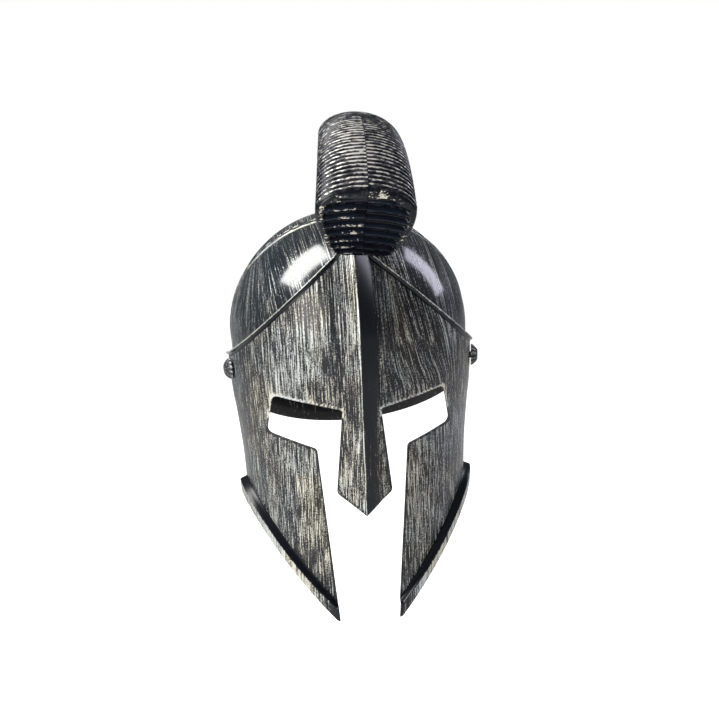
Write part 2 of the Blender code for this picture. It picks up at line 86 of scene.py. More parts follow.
weld = 0.00002  # points of a sheet closer than this are one
halvings = 30


def eased(share):
    share = min(max(share, 0.0), 1.0)
    return share * share * (3.0 - 2.0 * share)


def above(value, start, run):
    return eased((value - start) / run)


def below(value, end, run):
    return eased((end - value) / run)


def bell(value, middle, width):
    return exp(-(((value - middle) / width) ** 2))


def tableValue(rows, key, at, column):
    if at <= rows[0][key]:
        return rows[0][column]
    for i in range(len(rows) - 1):
        low, high = rows[i], rows[i + 1]
        if at <= high[key]:
            span = high[key] - low[key]
            before = rows[max(i - 1, 0)]
            after = rows[min(i + 2, len(rows) - 1)]
            slopeLow = (high[column] - before[column]) / (high[key] - before[key]) * span
            slopeHigh = (after[column] - low[column]) / (after[key] - low[key]) * span
            t = (at - low[key]) / span
            return (
                (2 * t**3 - 3 * t**2 + 1) * low[column]
                + (t**3 - 2 * t**2 + t) * slopeLow
                + (3 * t**2 - 2 * t**3) * high[column]
                + (t**3 - t**2) * slopeHigh
            )
    return rows[-1][column]


def sideValue(h, column):
    return tableValue(drawIn, "drop", max(-h, 0.0) / faceSize["drop"], column)


def ringShare(h, inset):
    return sqrt(max(1.0 - (max(h, 0.0) / (shell["halfWidth"] - inset)) ** 2, 0.0))


def sectionAt(h, inFront, inset):
    half = shell["halfWidth"] * sideValue(h, "width") - inset
    reach = (shell["front"] if inFront else shell["rear"]) * sideValue(h, "reach") - inset
    return half, reach, sideValue(h, "power") if inFront else 2.0


def shellPoint(theta, h, inset=0.0):
    ring = ringShare(h, inset)
    half, reach, power = sectionAt(h, cos(theta) >= 0.0, inset)
    x = half * ring * abs(sin(theta)) ** (2.0 / power) * (1.0 if theta >= 0.0 else -1.0)
    return domeCentre + Vector((x, -reach * ring * cos(theta), h))


def outward(point):
    local = point - domeCentre
    reach = shell["front"] if local.y < 0.0 else shell["rear"]
    half = shell["halfWidth"]
    return Vector((local.x / half**2, local.y / reach**2, max(local.z, 0.0) / half**2)).normalized()


# the brush went straight down: upright planes in front and behind, lines of equal turn at the sides
brush = {"sideFrom": 0.60, "sideRun": 0.35, "behindShift": 0.05}


def strokeRun(local, theta, slant, half, behind=False):
    atSide = above(abs(local.x) / half, brush["sideFrom"], brush["sideRun"])
    turned = theta - (pi if theta > 0.0 else -pi) if behind else theta
    plane = -local.x if behind else local.x + slant
    across = plane * (1.0 - atSide) + half * turned * atSide
    over = half * abs(atan2(-local.y, max(local.z, 0.0) + half)) * (1.0 - atSide)
    down = local.z * (atSide if local.z > 0.0 else 1.0)
    return Vector((across, brush["behindShift"] if behind else 0.0, over - down))


def crossing(overLine, low, high):
    for _ in range(halvings):
        middle = (low + high) / 2.0
        if overLine(middle) > 0.0:
            high = middle
        else:
            low = middle
    return (low + high) / 2.0


def browLine(x):
    return faceSize["browPeak"] - browSlope * abs(x)


def cheekLine(x):
    f = faceSize
    share = min((f["cheekRearX"] - abs(x)) / (f["cheekRearX"] - f["cheekTipX"]), 1.0)
    straight = -f["cheekRearDrop"] - (f["drop"] - f["cheekRearDrop"]) * share
    return max(straight - f["cheekBulge"] * 4.0 * share * (1.0 - share), f["tipDrop"])


# each point of a sheet gets its place and its marks: where the brush ran, how rubbed or dark it is, and where
# shade and a highlight are painted
markNames = ("wearAndHighlight", "shade", "ribTop", "rub")


def markLayers(bm):
    layers = {}
    for name in markNames:
        layers[name] = bm.verts.layers.float.get(name) or bm.verts.layers.float.new(name)
    return layers, bm.verts.layers.float_vector.get("stroke") or bm.verts.layers.float_vector.new("stroke")


def shapedGrid(bm, columns, rows, place):
    layers, stroke = markLayers(bm)
    grid = bmesh.ops.create_grid(bm, x_segments=columns, y_segments=rows, size=1.0)
    for vert in grid["verts"]:
        column = round((vert.co.x + 1.0) / 2.0 * columns)
        row = round((vert.co.y + 1.0) / 2.0 * rows)
        point, run, marks = place(column, row)
        vert.co = point
        vert[stroke] = run
        for name, value in marks.items():
            vert[layers[name]] = value


def newPiece(name, bm, sheet=False):
    bmesh.ops.recalc_face_normals(bm, faces=bm.faces)
    if sheet and sum(face.normal.dot(outward(face.calc_center_median())) for face in bm.faces) < 0.0:
        bmesh.ops.reverse_faces(bm, faces=bm.faces)
    mesh = bpy.data.meshes.new(name)
    bm.to_mesh(mesh)
    bm.free()
    piece = bpy.data.objects.new(name, mesh)
    bpy.context.collection.objects.link(piece)
    return piece


def addWall(piece, thickness):
    wall = piece.modifiers.new("wall", "SOLIDIFY")
    wall.thickness = thickness
    wall.offset = -1.0
    wall.use_even_offset = True
    wall.material_offset = 1


def addCut(piece, cutter, operation="DIFFERENCE"):
    step = piece.modifiers.new(cutter.name, "BOOLEAN")
    step.operation = operation
    step.object = cutter
    step.solver = "EXACT"


def addRounding(piece, width, angle):
    rounding = piece.modifiers.new("rounding", "BEVEL")
    rounding.width = width
    rounding.segments = 2
    rounding.limit_method = "ANGLE"
    rounding.angle_limit = radians(angle)


def settle(piece, sharpAngle, *cutters):
    graph = bpy.context.evaluated_depsgraph_get()
    shaped = piece.evaluated_get(graph)
    mesh = bpy.data.meshes.new_from_object(shaped, preserve_all_data_layers=True, depsgraph=graph)
    piece.modifiers.clear()
    piece.data = mesh
    for cutter in cutters:
        bpy.data.objects.remove(cutter)
    mesh.shade_smooth()
    mesh.set_sharp_from_angle(angle=radians(sharpAngle))
    print(piece.name, len(mesh.polygons), "faces")


# finishes: dark gloss plastic with silver dragged over it

def addNode(tree, kind, **facts):
    node = tree.nodes.new(kind)
    for key, value in facts.items():
        setattr(node, key, value)
    return node


def plug(tree, socket, value):
    if isinstance(value, bpy.types.NodeSocket):
        tree.links.new(value, socket)
    else:
        socket.default_value = value


def sums(tree, operation, a, b=0.0):
    node = addNode(tree, "ShaderNodeMath", operation=operation)
    plug(tree, node.inputs[0], a)
    plug(tree, node.inputs[1], b)
    return node.outputs[0]


# a share of a value is added; a noise is first set about its middle
def added(tree, total, value, weight, middle=None):
    offset = value if middle is None else sums(tree, "SUBTRACT", value, middle)
    return sums(tree, "ADD", total, sums(tree, "MULTIPLY", offset, weight))


def ramped(tree, value, low, high, outLow=0.0, outHigh=1.0):
    node = addNode(tree, "ShaderNodeMapRange", interpolation_type="SMOOTHSTEP")
    for index, entry in enumerate((value, low, high, outLow, outHigh)):
        plug(tree, node.inputs[index], entry)
    return node.outputs[0]


def blended(tree, share, first, second):
    node = addNode(tree, "ShaderNodeMix", data_type="RGBA")
    for index, entry in ((0, share), (6, first), (7, second)):
        plug(tree, node.inputs[index], entry)
    return node.outputs[2]


def grainNoise(tree, vector, scale, detail, roughness=0.6, stretch=(1.0, 1.0, 1.0), shift=0.0):
    mapping = addNode(tree, "ShaderNodeMapping")
    mapping.inputs["Scale"].default_value = stretch
    mapping.inputs["Location"].default_value = (shift, shift, shift)
    plug(tree, mapping.inputs["Vector"], vector)
    noise = addNode(tree, "ShaderNodeTexNoise")
    plug(tree, noise.inputs["Vector"], mapping.outputs[0])
    noise.inputs["Scale"].default_value = scale
    noise.inputs["Detail"].default_value = detail
    noise.inputs["Roughness"].default_value = roughness
    return noise.outputs["Fac"]


def readMark(tree, name):
    return addNode(tree, "ShaderNodeAttribute", attribute_name=name).outputs["Fac"]


def newFinish(name):
    material = bpy.data.materials.new(name)
    material.use_nodes = True
    tree = material.node_tree
    shader = tree.nodes["Principled BSDF"]
    return material, tree, shader


def colour(red, green, blue):
    return (red, green, blue, 1.0)


def bumped(tree, shader, height, strength, distance):
    bump = addNode(tree, "ShaderNodeBump")
    bump.inputs["Strength"].default_value = strength
    bump.inputs["Distance"].default_value = distance
    plug(tree, bump.inputs["Height"], height)
    tree.links.new(bump.outputs[0], shader.inputs["Normal"])


# noise that both brushed finishes share: scales per metre, and how far it is drawn out along the stroke
grain = {
    "secondShare": 0.42, "secondStretch": 1.7, "secondWeight": 0.36, "broadScale": 62.0, "broadStretch": 0.16,
    "patchScale": 21.0, "speckScale": 950.0, "middle": 0.5, "thinBelow": 0.16, "thinAbove": 0.05,
    "ridgeX": -0.0004, "ridgeInner": 0.0001, "ridgeOuter": 0.0005, "ridgeWear": 0.11,
    "bumpStrength": 0.5, "bumpDepth": 0.00006,
}


def brushedFinish(name, look, ridge=False):
    material, tree, shader = newFinish(name)
    run = addNode(tree, "ShaderNodeAttribute", attribute_name="stroke").outputs["Vector"]
    place = addNode(tree, "ShaderNodeTexCoord").outputs["Object"]
    drawnOut = (1.0, 1.0, look["strokeStretch"])
    drawnMore = (1.0, 1.0, look["strokeStretch"] * grain["secondStretch"])
    fine = grainNoise(tree, run, look["strokeScale"], 5.0, 0.68, drawnOut)
    second = grainNoise(tree, run, look["strokeScale"] * grain["secondShare"], 3.0, 0.6, drawnMore, 3.1)
    broad = grainNoise(tree, run, grain["broadScale"], 3.0, 0.55, (1.0, 1.0, grain["broadStretch"]), 7.7)
    patches = grainNoise(tree, place, grain["patchScale"], 2.0, 0.5, shift=1.3)
    specks = grainNoise(tree, place, grain["speckScale"], 2.0, 0.5)
    weave = added(tree, fine, second, grain["secondWeight"], grain["middle"])
    for noise, weight in ((broad, "broad"), (patches, "patchy"), (specks, "speckled")):
        weave = added(tree, weave, noise, look[weight], grain["middle"])
    # silver rubbed onto edges; on the face plate this mark also carries the painted highlight on the nose
    # guard's left face
    weave = added(tree, weave, readMark(tree, "wearAndHighlight"), look["edges"])
    # the shade mark takes silver away: painted shade on the face plate, and a dark line just above the bowl's
    # flaring rear rim
    weave = sums(tree, "SUBTRACT", weave, sums(tree, "MULTIPLY", readMark(tree, "shade"), look["shaded"]))
    if ridge:
        apart = addNode(tree, "ShaderNodeSeparateXYZ")
        plug(tree, apart.inputs[0], place)
        nearRidge = sums(tree, "ABSOLUTE", sums(tree, "ADD", apart.outputs[0], -grain["ridgeX"]))
        line = ramped(tree, nearRidge, grain["ridgeInner"], grain["ridgeOuter"], grain["ridgeWear"], 0.0)
        weave = sums(tree, "ADD", weave, line)
    silver = ramped(tree, weave, look["start"], look["full"])
    thin = ramped(tree, weave, look["start"] - grain["thinBelow"], look["start"] + grain["thinAbove"])
    tone = ramped(tree, patches, 0.38, 0.62)
    metal = blended(tree, tone, look["warmSilver"], look["coolSilver"])
    film = blended(tree, ramped(tree, broad, 0.52, 0.68), look["film"], look["warmFilm"])
    under = blended(tree, thin, look["plastic"], film)
    paint = blended(tree, silver, under, metal)
    plug(tree, shader.inputs["Base Color"], paint)
    plug(tree, shader.inputs["Roughness"], ramped(tree, silver, 0.0, 1.0, look["gloss"], look["matt"]))
    plug(tree, shader.inputs["Metallic"], ramped(tree, silver, 0.0, 1.0, 0.0, look["metallic"]))
    shader.inputs["Specular IOR Level"].default_value = look["specular"]
    bumped(tree, shader, silver, grain["bumpStrength"], grain["bumpDepth"])
    return material


innerLook = {
    "scuffScale": 520.0, "scuffStretch": 0.12, "cloudScale": 30.0, "cloudWeight": 0.25, "start": 0.70,
    "full": 0.84, "plastic": colour(0.006, 0.006, 0.007), "scuffed": colour(0.14, 0.14, 0.13), "gloss": 0.38,
    "matt": 0.55, "specular": 0.2,
}


def innerFinish(look):
    material, tree, shader = newFinish("innerPlastic")
    place = addNode(tree, "ShaderNodeTexCoord").outputs["Object"]
    scuffs = grainNoise(tree, place, look["scuffScale"], 4.0, 0.7, (1.0, 1.0, look["scuffStretch"]))
    clouds = grainNoise(tree, place, look["cloudScale"], 3.0)
    marks = ramped(tree, added(tree, scuffs, clouds, look["cloudWeight"]), look["start"], look["full"])
    plug(tree, shader.inputs["Base Color"], blended(tree, marks, look["plastic"], look["scuffed"]))
    plug(tree, shader.inputs["Roughness"], ramped(tree, clouds, 0.3, 0.7, look["gloss"], look["matt"]))
    shader.inputs["Specular IOR Level"].default_value = look["specular"]
    bumped(tree, shader, scuffs, 0.25, 0.00008)
    return material


faceLook = {
    "strokeScale": 1550.0, "strokeStretch": 0.032, "broad": 0.19, "patchy": 0.13, "speckled": 0.30,
    "edges": 0.36, "shaded": 0.42, "start": 0.505, "full": 0.620,
    "plastic": colour(0.004, 0.005, 0.008), "film": colour(0.024, 0.024, 0.027),
    "warmFilm": colour(0.046, 0.038, 0.024), "warmSilver": colour(0.60, 0.58, 0.49),
    "coolSilver": colour(0.51, 0.54, 0.53), "gloss": 0.26, "matt": 0.42, "metallic": 0.5, "specular": 0.28,
}
bowlLook = dict(
    faceLook, strokeScale=1500.0, strokeStretch=0.026, broad=0.34, start=0.542, full=0.66,
    plastic=colour(0.006, 0.009, 0.013), film=colour(0.024, 0.029, 0.033),
    warmFilm=colour(0.030, 0.028, 0.026), coolSilver=colour(0.52, 0.56, 0.57),
    gloss=0.13, matt=0.30, specular=0.7,
)
facePaint = brushedFinish("faceBrushedSilver", faceLook, ridge=True)
bowlPaint = brushedFinish("bowlBrushedSilver", bowlLook)
innerPaint = innerFinish(innerLook)
print("finishes mixed")

bowlSize = {
    "rimDrop": 0.0385, "rimSlope": 0.50, "flare": 0.0042, "flareHeight": 0.0080, "flareStart": 0.012,
    "flareRun": 0.028, "flareCurve": 1.3, "overlap": 0.025, "rimWorn": 0.0022, "rimDarkUp": 0.0055,
    "rimDarkWidth": 0.002, "edgeRound": 0.0004, "roundOver": 55.0, "sharpOver": 42.0, "columns": 160,
    "rows": 72, "rimRows": 12, "strokeLean": 0.22,
}
bowlHalf = shell["halfWidth"] - shell["bowlInset"]
# the pair of fine raised beads that runs over the dome from ear to ear
beadSize = {
    "slope": 0.50, "aheads": (-0.0077, -0.0133), "radius": 0.0011, "sunk": 0.0003, "end": radians(117.0),
    "endShare": 0.35, "endColumns": 4.0, "nearest": 0.03, "farthest": 0.13, "columns": 150, "rows": 8,
    "wear": 0.60, "strokeAcross": 0.001, "strokeAlong": 0.002,
}


def bowlEdge(point):
    local = point - domeCentre
    rim = -bowlSize["rimDrop"] - bowlSize["rimSlope"] * max(local.y, 0.0)
    if local.y > 0.0:
        return rim
    return max(rim, browLine(local.x) - bowlSize["overlap"])


def bowlPoint(theta, length):
    quarter = bowlHalf * pi / 2.0
    h = bowlHalf * cos(length / bowlHalf) if length < quarter else quarter - length
    return shellPoint(theta, h, shell["bowlInset"])


bowlLengths = {}


def bowlPlace(column, row):
    b = bowlSize
    theta = -pi + 2.0 * pi * column / b["columns"]
    if column not in bowlLengths:

        def pastEdge(length):
            point = bowlPoint(theta, length)
            return bowlEdge(point) - (point - domeCentre).z

        bowlLengths[column] = crossing(pastEdge, 0.001, bowlHalf * pi / 2.0 + faceSize["drop"] / 2.0)
    full = bowlLengths[column]
    rimShare = row / b["rimRows"]
    if row <= b["rimRows"]:
        up = b["flareHeight"] * rimShare
    else:
        share = (row - b["rimRows"]) / (b["rows"] - b["rimRows"])
        up = b["flareHeight"] + (full - b["flareHeight"]) * share
    length = max(full - up, 0.0)
    point = bowlPoint(theta, length)
    behind = above(point.y - domeCentre.y, b["flareStart"], b["flareRun"])
    turnOut = max(1.0 - up / b["flareHeight"], 0.0) ** b["flareCurve"]
    point += outward(point) * b["flare"] * behind * turnOut
    local = point - domeCentre
    behindBeads = local.y + beadSize["slope"] * local.z + sum(beadSize["aheads"]) / 2.0 > 0.0
    run = strokeRun(local, theta, b["strokeLean"] * max(local.z, 0.0), bowlHalf, behindBeads)
    marks = {"wearAndHighlight": max(1.0 - up / b["rimWorn"], 0.0) * behind}
    marks["shade"] = bell(up, b["rimDarkUp"], b["rimDarkWidth"]) * behind
    return point, run, marks


def makeBead(name, ahead):
    b = beadSize

    def overBowl(point):
        local = point - domeCentre
        ring = max(ringShare(local.z, shell["bowlInset"]), 0.000001)
        half, reach, power = sectionAt(local.z, local.y < 0.0, shell["bowlInset"])
        return (abs(local.x) / half / ring) ** power + (local.y / reach / ring) ** 2 - 1.0

    def pathPoint(share):
        angle = b["end"] * (2.0 * share - 1.0)

        def at(radius):
            height = radius * cos(angle)
            return domeCentre + Vector((radius * sin(angle), -b["slope"] * height - ahead, height))

        return at(crossing(lambda radius: overBowl(at(radius)), b["nearest"], b["farthest"]))

    path = [pathPoint(column / b["columns"]) for column in range(b["columns"] + 1)]

    def beadPlace(column, row):
        before, after = path[max(column - 1, 0)], path[min(column + 1, b["columns"])]
        normal = outward(path[column])
        sideways = (after - before).cross(normal).normalized()
        full = eased(min(column, b["columns"] - column) / b["endColumns"])
        radius = b["radius"] * (b["endShare"] + (1.0 - b["endShare"]) * full)
        angle = 2.0 * pi * row / b["rows"]
        place = path[column] - normal * b["sunk"] + (normal * cos(angle) + sideways * sin(angle)) * radius
        run = Vector((row * b["strokeAcross"], 0.0, column * b["strokeAlong"]))
        return place, run, {"wearAndHighlight": b["wear"]}

    bm = bmesh.new()
    shapedGrid(bm, b["columns"], b["rows"], beadPlace)
    bmesh.ops.remove_doubles(bm, verts=bm.verts, dist=weld)
    bmesh.ops.holes_fill(bm, edges=[edge for edge in bm.edges if edge.is_boundary], sides=0)
    return newPiece(name, bm)


def makeBowl(rivetHole):
    beads = [makeBead("bead" + str(i), ahead) for i, ahead in enumerate(beadSize["aheads"])]
    bm = bmesh.new()
    shapedGrid(bm, bowlSize["columns"], bowlSize["rows"], bowlPlace)
    bmesh.ops.remove_doubles(bm, verts=bm.verts, dist=weld)
    bowl = newPiece("bowl_skin", bm, sheet=True)
    bowl.data.materials.append(bowlPaint)
    bowl.data.materials.append(innerPaint)
    addWall(bowl, shell["wall"])
    addCut(bowl, rivetHole)
    addRounding(bowl, bowlSize["edgeRound"], bowlSize["roundOver"])
    for bead in beads:
        addCut(bowl, bead, "UNION")
    settle(bowl, bowlSize["sharpOver"], *beads)
    return bowl


# face plate

def keelProud(x, h):
    f = faceSize
    down = min(max(-h, 0.0) / f["noseTipDrop"], 1.0)
    ridge = f["keelBrow"] + (f["keelNose"] - f["keelBrow"]) * down
    return ridge * max(1.0 - abs(x) / f["keelHalf"], 0.0)


def faceTheta(column, h):
    f = faceSize
    side = column - f["keelColumns"] - f["sideColumns"]
    half, reach, power = sectionAt(h, True, 0.0)
    ring = ringShare(h, 0.0)
    count = abs(side)
    keelX = f["keelHalf"] * min(count / f["keelColumns"], 1.0)
    theta = asin(min(keelX / (half * ring), 1.0) ** (power / 2.0))
    if count > f["keelColumns"]:
        rear = acos(min(f["rearAhead"] / (reach * ring), 1.0))
        theta += (rear - theta) * (count - f["keelColumns"]) / f["sideColumns"]
    return theta if side >= 0 else -theta


def openingDistance(x, h):
    corners = [(0.0, -faceSize["noseTipDrop"])] + [(c["x"], c["h"]) for c in faceOpening]
    nearest = 1.0
    for (ax, ah), (bx, bh) in zip(corners, corners[1:]):
        span = (bx - ax) ** 2 + (bh - ah) ** 2
        along = min(max(((abs(x) - ax) * (bx - ax) + (h - ah) * (bh - ah)) / span, 0.0), 1.0)
        nearest = min(nearest, hypot(abs(x) - ax - (bx - ax) * along, h - ah - (bh - ah) * along))
    return nearest


# where silver was rubbed on or left off, and where shade and a highlight are painted: a strength, the place,
# and the run over which it fades
faceTone = {
    "facing": 0.25, "eyeMiddle": -0.060, "wearAndHighlight": 0.9, "edgeWorn": 0.0018, "edgeShade": 0.8,
    "edgeDark": 0.0014, "beadWear": 0.7, "beadWornDown": 0.0007, "beadWornWidth": 0.0006,
    "beadDarkDown": 0.0030, "beadDarkWidth": 0.0011, "flangeWear": 0.30, "flangeWornUp": 0.0100,
    "flangeRun": 0.0012, "flangeX": 0.025, "flangeXRun": 0.012, "stepShade": 0.95, "stepDarkUp": 0.0098,
    "stepOver": 0.002, "tipShade": 0.22, "tipX": 0.040, "tipXRun": 0.010, "tipRun": 0.001,
    "noseHighlight": 0.09, "noseTop": -0.050, "noseTopRun": 0.02, "noseRidgeRun": 0.003, "noseX": 0.024,
    "noseXRun": 0.004, "keelShade": 0.46, "keelLowerShade": 0.12, "keelLower": -0.040, "keelLowerRun": 0.03,
    "keelX": 0.0004, "keelXRun": 0.001, "keelWidth": 0.0175, "keelNarrower": 0.003, "keelWidthRun": 0.009,
    "templeShade": 0.12, "templeX": 0.055, "templeXRun": 0.03, "templeDown": 0.004,
    "browShade": 0.08, "browX": 0.004, "browXRun": 0.006, "browFoot": -0.052, "browFootRun": 0.02,
    "browEndX": 0.078, "browEndRun": 0.02, "lean": 0.24, "leanFoot": 0.05, "leanFootRun": 0.03,
    "leanX": 0.012, "leanXRun": 0.02, "leanEndX": 0.09, "leanEndRun": 0.03,
}


# silver rubbed onto the opening edges, the bead and the flange, and a painted highlight on the nose guard's
# left face
def faceWearAndHighlight(x, h, up, under, opening):
    tone = faceTone
    atEdge = tone["wearAndHighlight"] * max(1.0 - opening / tone["edgeWorn"], 0.0) if h > tone["eyeMiddle"] else 0.0
    onBead = tone["beadWear"] * bell(under, tone["beadWornDown"], tone["beadWornWidth"])
    onFlange = tone["flangeWear"] * below(up, tone["flangeWornUp"], tone["flangeRun"])
    onFlange *= above(abs(x), tone["flangeX"], tone["flangeXRun"])
    # painted highlight: the nose guard's left face, the side the light falls on, is brightened
    onNose = tone["noseHighlight"] * below(h, tone["noseTop"], tone["noseTopRun"])
    onNose *= below(x, 0.0, tone["noseRidgeRun"]) * above(x, -tone["noseX"], tone["noseXRun"])
    return max(atEdge, onBead, onFlange, onNose)


# painted shade on the face plate: under the brow bead, along the flange's step, on the keel's right flank,
# towards the left side and on the right brow; also darker along the openings' lower edges and at the cheek
# tips
def faceShade(x, h, up, under, opening):
    tone = faceTone
    stepTop = faceSize["flangeHeight"] + faceSize["flangeStep"]
    atEdge = tone["edgeShade"] * max(1.0 - opening / tone["edgeDark"], 0.0) if h < tone["eyeMiddle"] else 0.0
    # painted shadow: a dark line under the brow bead
    underBead = bell(under, tone["beadDarkDown"], tone["beadDarkWidth"])
    # painted shade: a dark band in the crease along the flange's step
    onStep = tone["stepShade"] * above(up, tone["stepDarkUp"], tone["flangeRun"])
    onStep *= below(up, stepTop + tone["stepOver"], tone["stepOver"])
    onTip = tone["tipShade"] * below(abs(x), tone["tipX"], tone["tipXRun"])
    onTip *= below(up, tone["flangeWornUp"], tone["tipRun"])
    # painted shade: the keel's right flank, turned away from the light, is darkened
    lower = below(h, tone["keelLower"], tone["keelLowerRun"])
    besideKeel = tone["keelShade"] - tone["keelLowerShade"] * lower
    besideKeel *= above(x, tone["keelX"], tone["keelXRun"])
    besideKeel *= below(x, tone["keelWidth"] - tone["keelNarrower"] * lower, tone["keelWidthRun"])
    # painted shade: darker towards the face plate's left side
    onTemple = tone["templeShade"] * below(x, -tone["templeX"], tone["templeXRun"])
    onTemple *= above(under, tone["templeDown"], tone["templeDown"])
    # painted shade: the right brow is darkened
    onBrow = tone["browShade"] * above(h, tone["browFoot"], tone["browFootRun"])
    onBrow *= above(x, tone["browX"], tone["browXRun"]) * below(x, tone["browEndX"], tone["browEndRun"])
    return max(atEdge, underBead, onStep, onTip, besideKeel, onTemple, onBrow)


def faceSlant(x, h):
    tone = faceTone
    slant = tone["lean"] * (h + tone["leanFoot"]) * above(x, tone["leanX"], tone["leanXRun"])
    slant *= above(h, -tone["leanFoot"], tone["leanFootRun"])
    return slant * below(x, tone["leanEndX"], tone["leanEndRun"])


faceLimits = {}


def facePlace(column, row, inner=False):
    f = faceSize
    if column not in faceLimits:

        def over(line):
            return lambda h: h - line(shellPoint(faceTheta(column, h), h).x)

        top = crossing(over(browLine), -f["drop"], (f["browPeak"] + shell["halfWidth"]) / 2.0)
        bottom = crossing(over(cheekLine), -f["drop"] - f["flangeHeight"], 0.0)
        faceLimits[column] = (bottom, top)
    bottom, top = faceLimits[column]
    stepTop = f["flangeHeight"] + f["flangeStep"]
    beadFall = f["beadHeight"] * f["beadMargin"]
    if row <= f["flangeRows"]:
        h = bottom + stepTop * row / f["flangeRows"]
    elif row >= f["rows"] - f["beadRows"]:
        h = top - beadFall * (f["rows"] - row) / f["beadRows"]
    else:
        share = (row - f["flangeRows"]) / (f["rows"] - f["beadRows"] - f["flangeRows"])
        h = bottom + stepTop + (top - beadFall - bottom - stepTop) * share
    theta = faceTheta(column, h)
    point = shellPoint(theta, h)
    up = h - bottom
    under = top - h
    proud = keelProud(point.x, h)
    proud += f["flangeProud"] * eased((stepTop - up) / f["flangeStep"])
    if inner:
        proud -= shell["wall"]
    else:
        bead = f["beadProud"] * eased(1.0 - abs(under - f["beadCentre"]) / f["beadHalf"])
        proud += bead - f["footRound"] * max(1.0 - up / f["footRoundHeight"], 0.0) ** 2
    x = point.x
    opening = openingDistance(x, h) if cos(theta) > faceTone["facing"] else 1.0
    run = strokeRun(point - domeCentre, theta, faceSlant(x, h), shell["halfWidth"])
    # marks: rubbed silver with a painted highlight on the nose, and mostly painted shade
    marks = {"wearAndHighlight": faceWearAndHighlight(x, h, up, under, opening), "shade": faceShade(x, h, up, under, opening)}
    return point + outward(point) * proud, run, marks


openingCut = {"ahead": 1.5, "segments": 6, "wear": 0.8}


def makeOpenings():
    bm = bmesh.new()
    layers = markLayers(bm)[0]
    right = [(c["x"], c["h"], c["radius"]) for c in faceOpening]
    left = [(-x, h, radius) for x, h, radius in reversed(right)]
    corners = [(0.0, -faceSize["noseTipDrop"], 0.0)] + right + left
    front = -shell["front"] * openingCut["ahead"]
    verts = [bm.verts.new(domeCentre + Vector((x, front, h))) for x, h, radius in corners]
    bm.faces.new(verts)
    for radius in sorted({c["radius"] for c in faceOpening} - {0.0}, reverse=True):
        chosen = [vert for vert, corner in zip(verts, corners) if corner[2] == radius]
        bmesh.ops.bevel(
            bm, geom=chosen, offset=radius, offset_type="OFFSET", segments=openingCut["segments"],
            profile=0.5, affect="VERTICES", material=-1,
        )
    side = bmesh.ops.extrude_face_region(bm, geom=list(bm.faces))
    moved = [item for item in side["geom"] if isinstance(item, bmesh.types.BMVert)]
    bmesh.ops.translate(bm, verts=moved, vec=(0.0, -front, 0.0))
    for vert in bm.verts:
        vert[layers["wearAndHighlight"]] = openingCut["wear"]
    return newPiece("openings", bm)


def makeFacePlate(openings, rivetHole):
    f = faceSize
    columns = 2 * (f["keelColumns"] + f["sideColumns"])

    def skinPlace(column, row):
        ownColumn = min(max(column - 1, 0), columns)
        ownRow = min(max(row - 1, 0), f["rows"])
        return facePlace(ownColumn, ownRow, inner=(column, row) != (ownColumn + 1, ownRow + 1))

    bm = bmesh.new()
    shapedGrid(bm, columns, f["rows"], lambda column, row: facePlace(column, row, inner=True))
    for wallFace in bm.faces:
        wallFace.material_index = 1
    shapedGrid(bm, columns + 2, f["rows"] + 2, skinPlace)
    bmesh.ops.remove_doubles(bm, verts=bm.verts, dist=weld)
    face = newPiece("face_skin", bm)
    face.data.materials.append(facePaint)
    face.data.materials.append(innerPaint)
    addCut(face, openings)
    addCut(face, rivetHole)
    addRounding(face, f["edgeRound"], f["roundOver"])
    settle(face, f["sharpOver"])
    return face


def makeRivetHole():
    bm = bmesh.new()
    bmesh.ops.create_cone(
        bm, cap_ends=True, segments=32, radius1=0.0028, radius2=0.0028, depth=shell["halfWidth"] * 3.0,
        matrix=Matrix.Rotation(pi / 2.0, 4, "Y"),
    )
    bmesh.ops.translate(bm, verts=bm.verts, vec=pivot)
    return newPiece("rivetHole", bm)


rivetHole = makeRivetHole()
bowl = makeBowl(rivetHole)
openings = makeOpenings()
facePlate = makeFacePlate(openings, rivetHole)
for cutter in (openings, rivetHole):
    bpy.data.objects.remove(cutter)
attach(bowl, "shell")
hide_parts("bowl")
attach(facePlate, "face")
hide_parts("face_plate")
print("bowl and face plate made")

# crest
crestSize = {
    "lean": radians(4.9), "rise": 0.0747, "fore": 0.1633, "aft": 0.1672, "front": radians(50.9),
    "lip": radians(60.9), "rear": radians(-60.0), "halfWidth": 0.0360, "footHalf": 0.0225, "taper": 0.43,
    "crown": 0.0183, "lipClearance": 0.0270, "fanStart": radians(12.0), "ribPitch": 0.0042,
    "ribDepth": 0.0012, "ribCurve": 0.9, "ribFade": 0.004, "ribFoot": 3.0, "endRound": 0.0048,
    "footRound": 0.0080, "seam": 0.00015, "seatGap": 0.00042, "sharpOver": 48.0, "sectionsPerRib": 6,
    "sideSteps": 62, "crownSteps": 20,
}
capSize = {
    "columns": 24, "ribs": 8.0, "ribSpacing": 0.85, "recess": 0.0034, "rearRecess": 0.0005, "arch": 0.0050,
    "leftLift": 0.0009, "sideFade": 0.0030, "topFade": 0.0050, "footFade": 0.0055, "belowFoot": 0.004,
}
crestTone = {
    "rubAngle": radians(33.0), "rubSpread": radians(15.0), "rubAcross": 0.006, "rubWidth": 0.016,
    "leftRub": 0.5, "crownRub": 0.25, "crownFrom": 0.5, "crownRun": 0.4, "frontEdge": 0.9, "rearEdge": 0.5,
    "capAcross": 0.015, "capWidth": 0.017, "capRubRight": 0.9, "capRubLeft": 0.3, "rearCapEdge": 0.4,
}
crestFoot = [
    {"angle": -2.00, "lift": -0.30},
    {"angle": 0.46, "lift": -0.30},
    {"angle": 0.56, "lift": 0.12},
    {"angle": 0.70, "lift": 0.52},
    {"angle": 0.83, "lift": 0.76},
    {"angle": 1.00, "lift": 1.00},
]
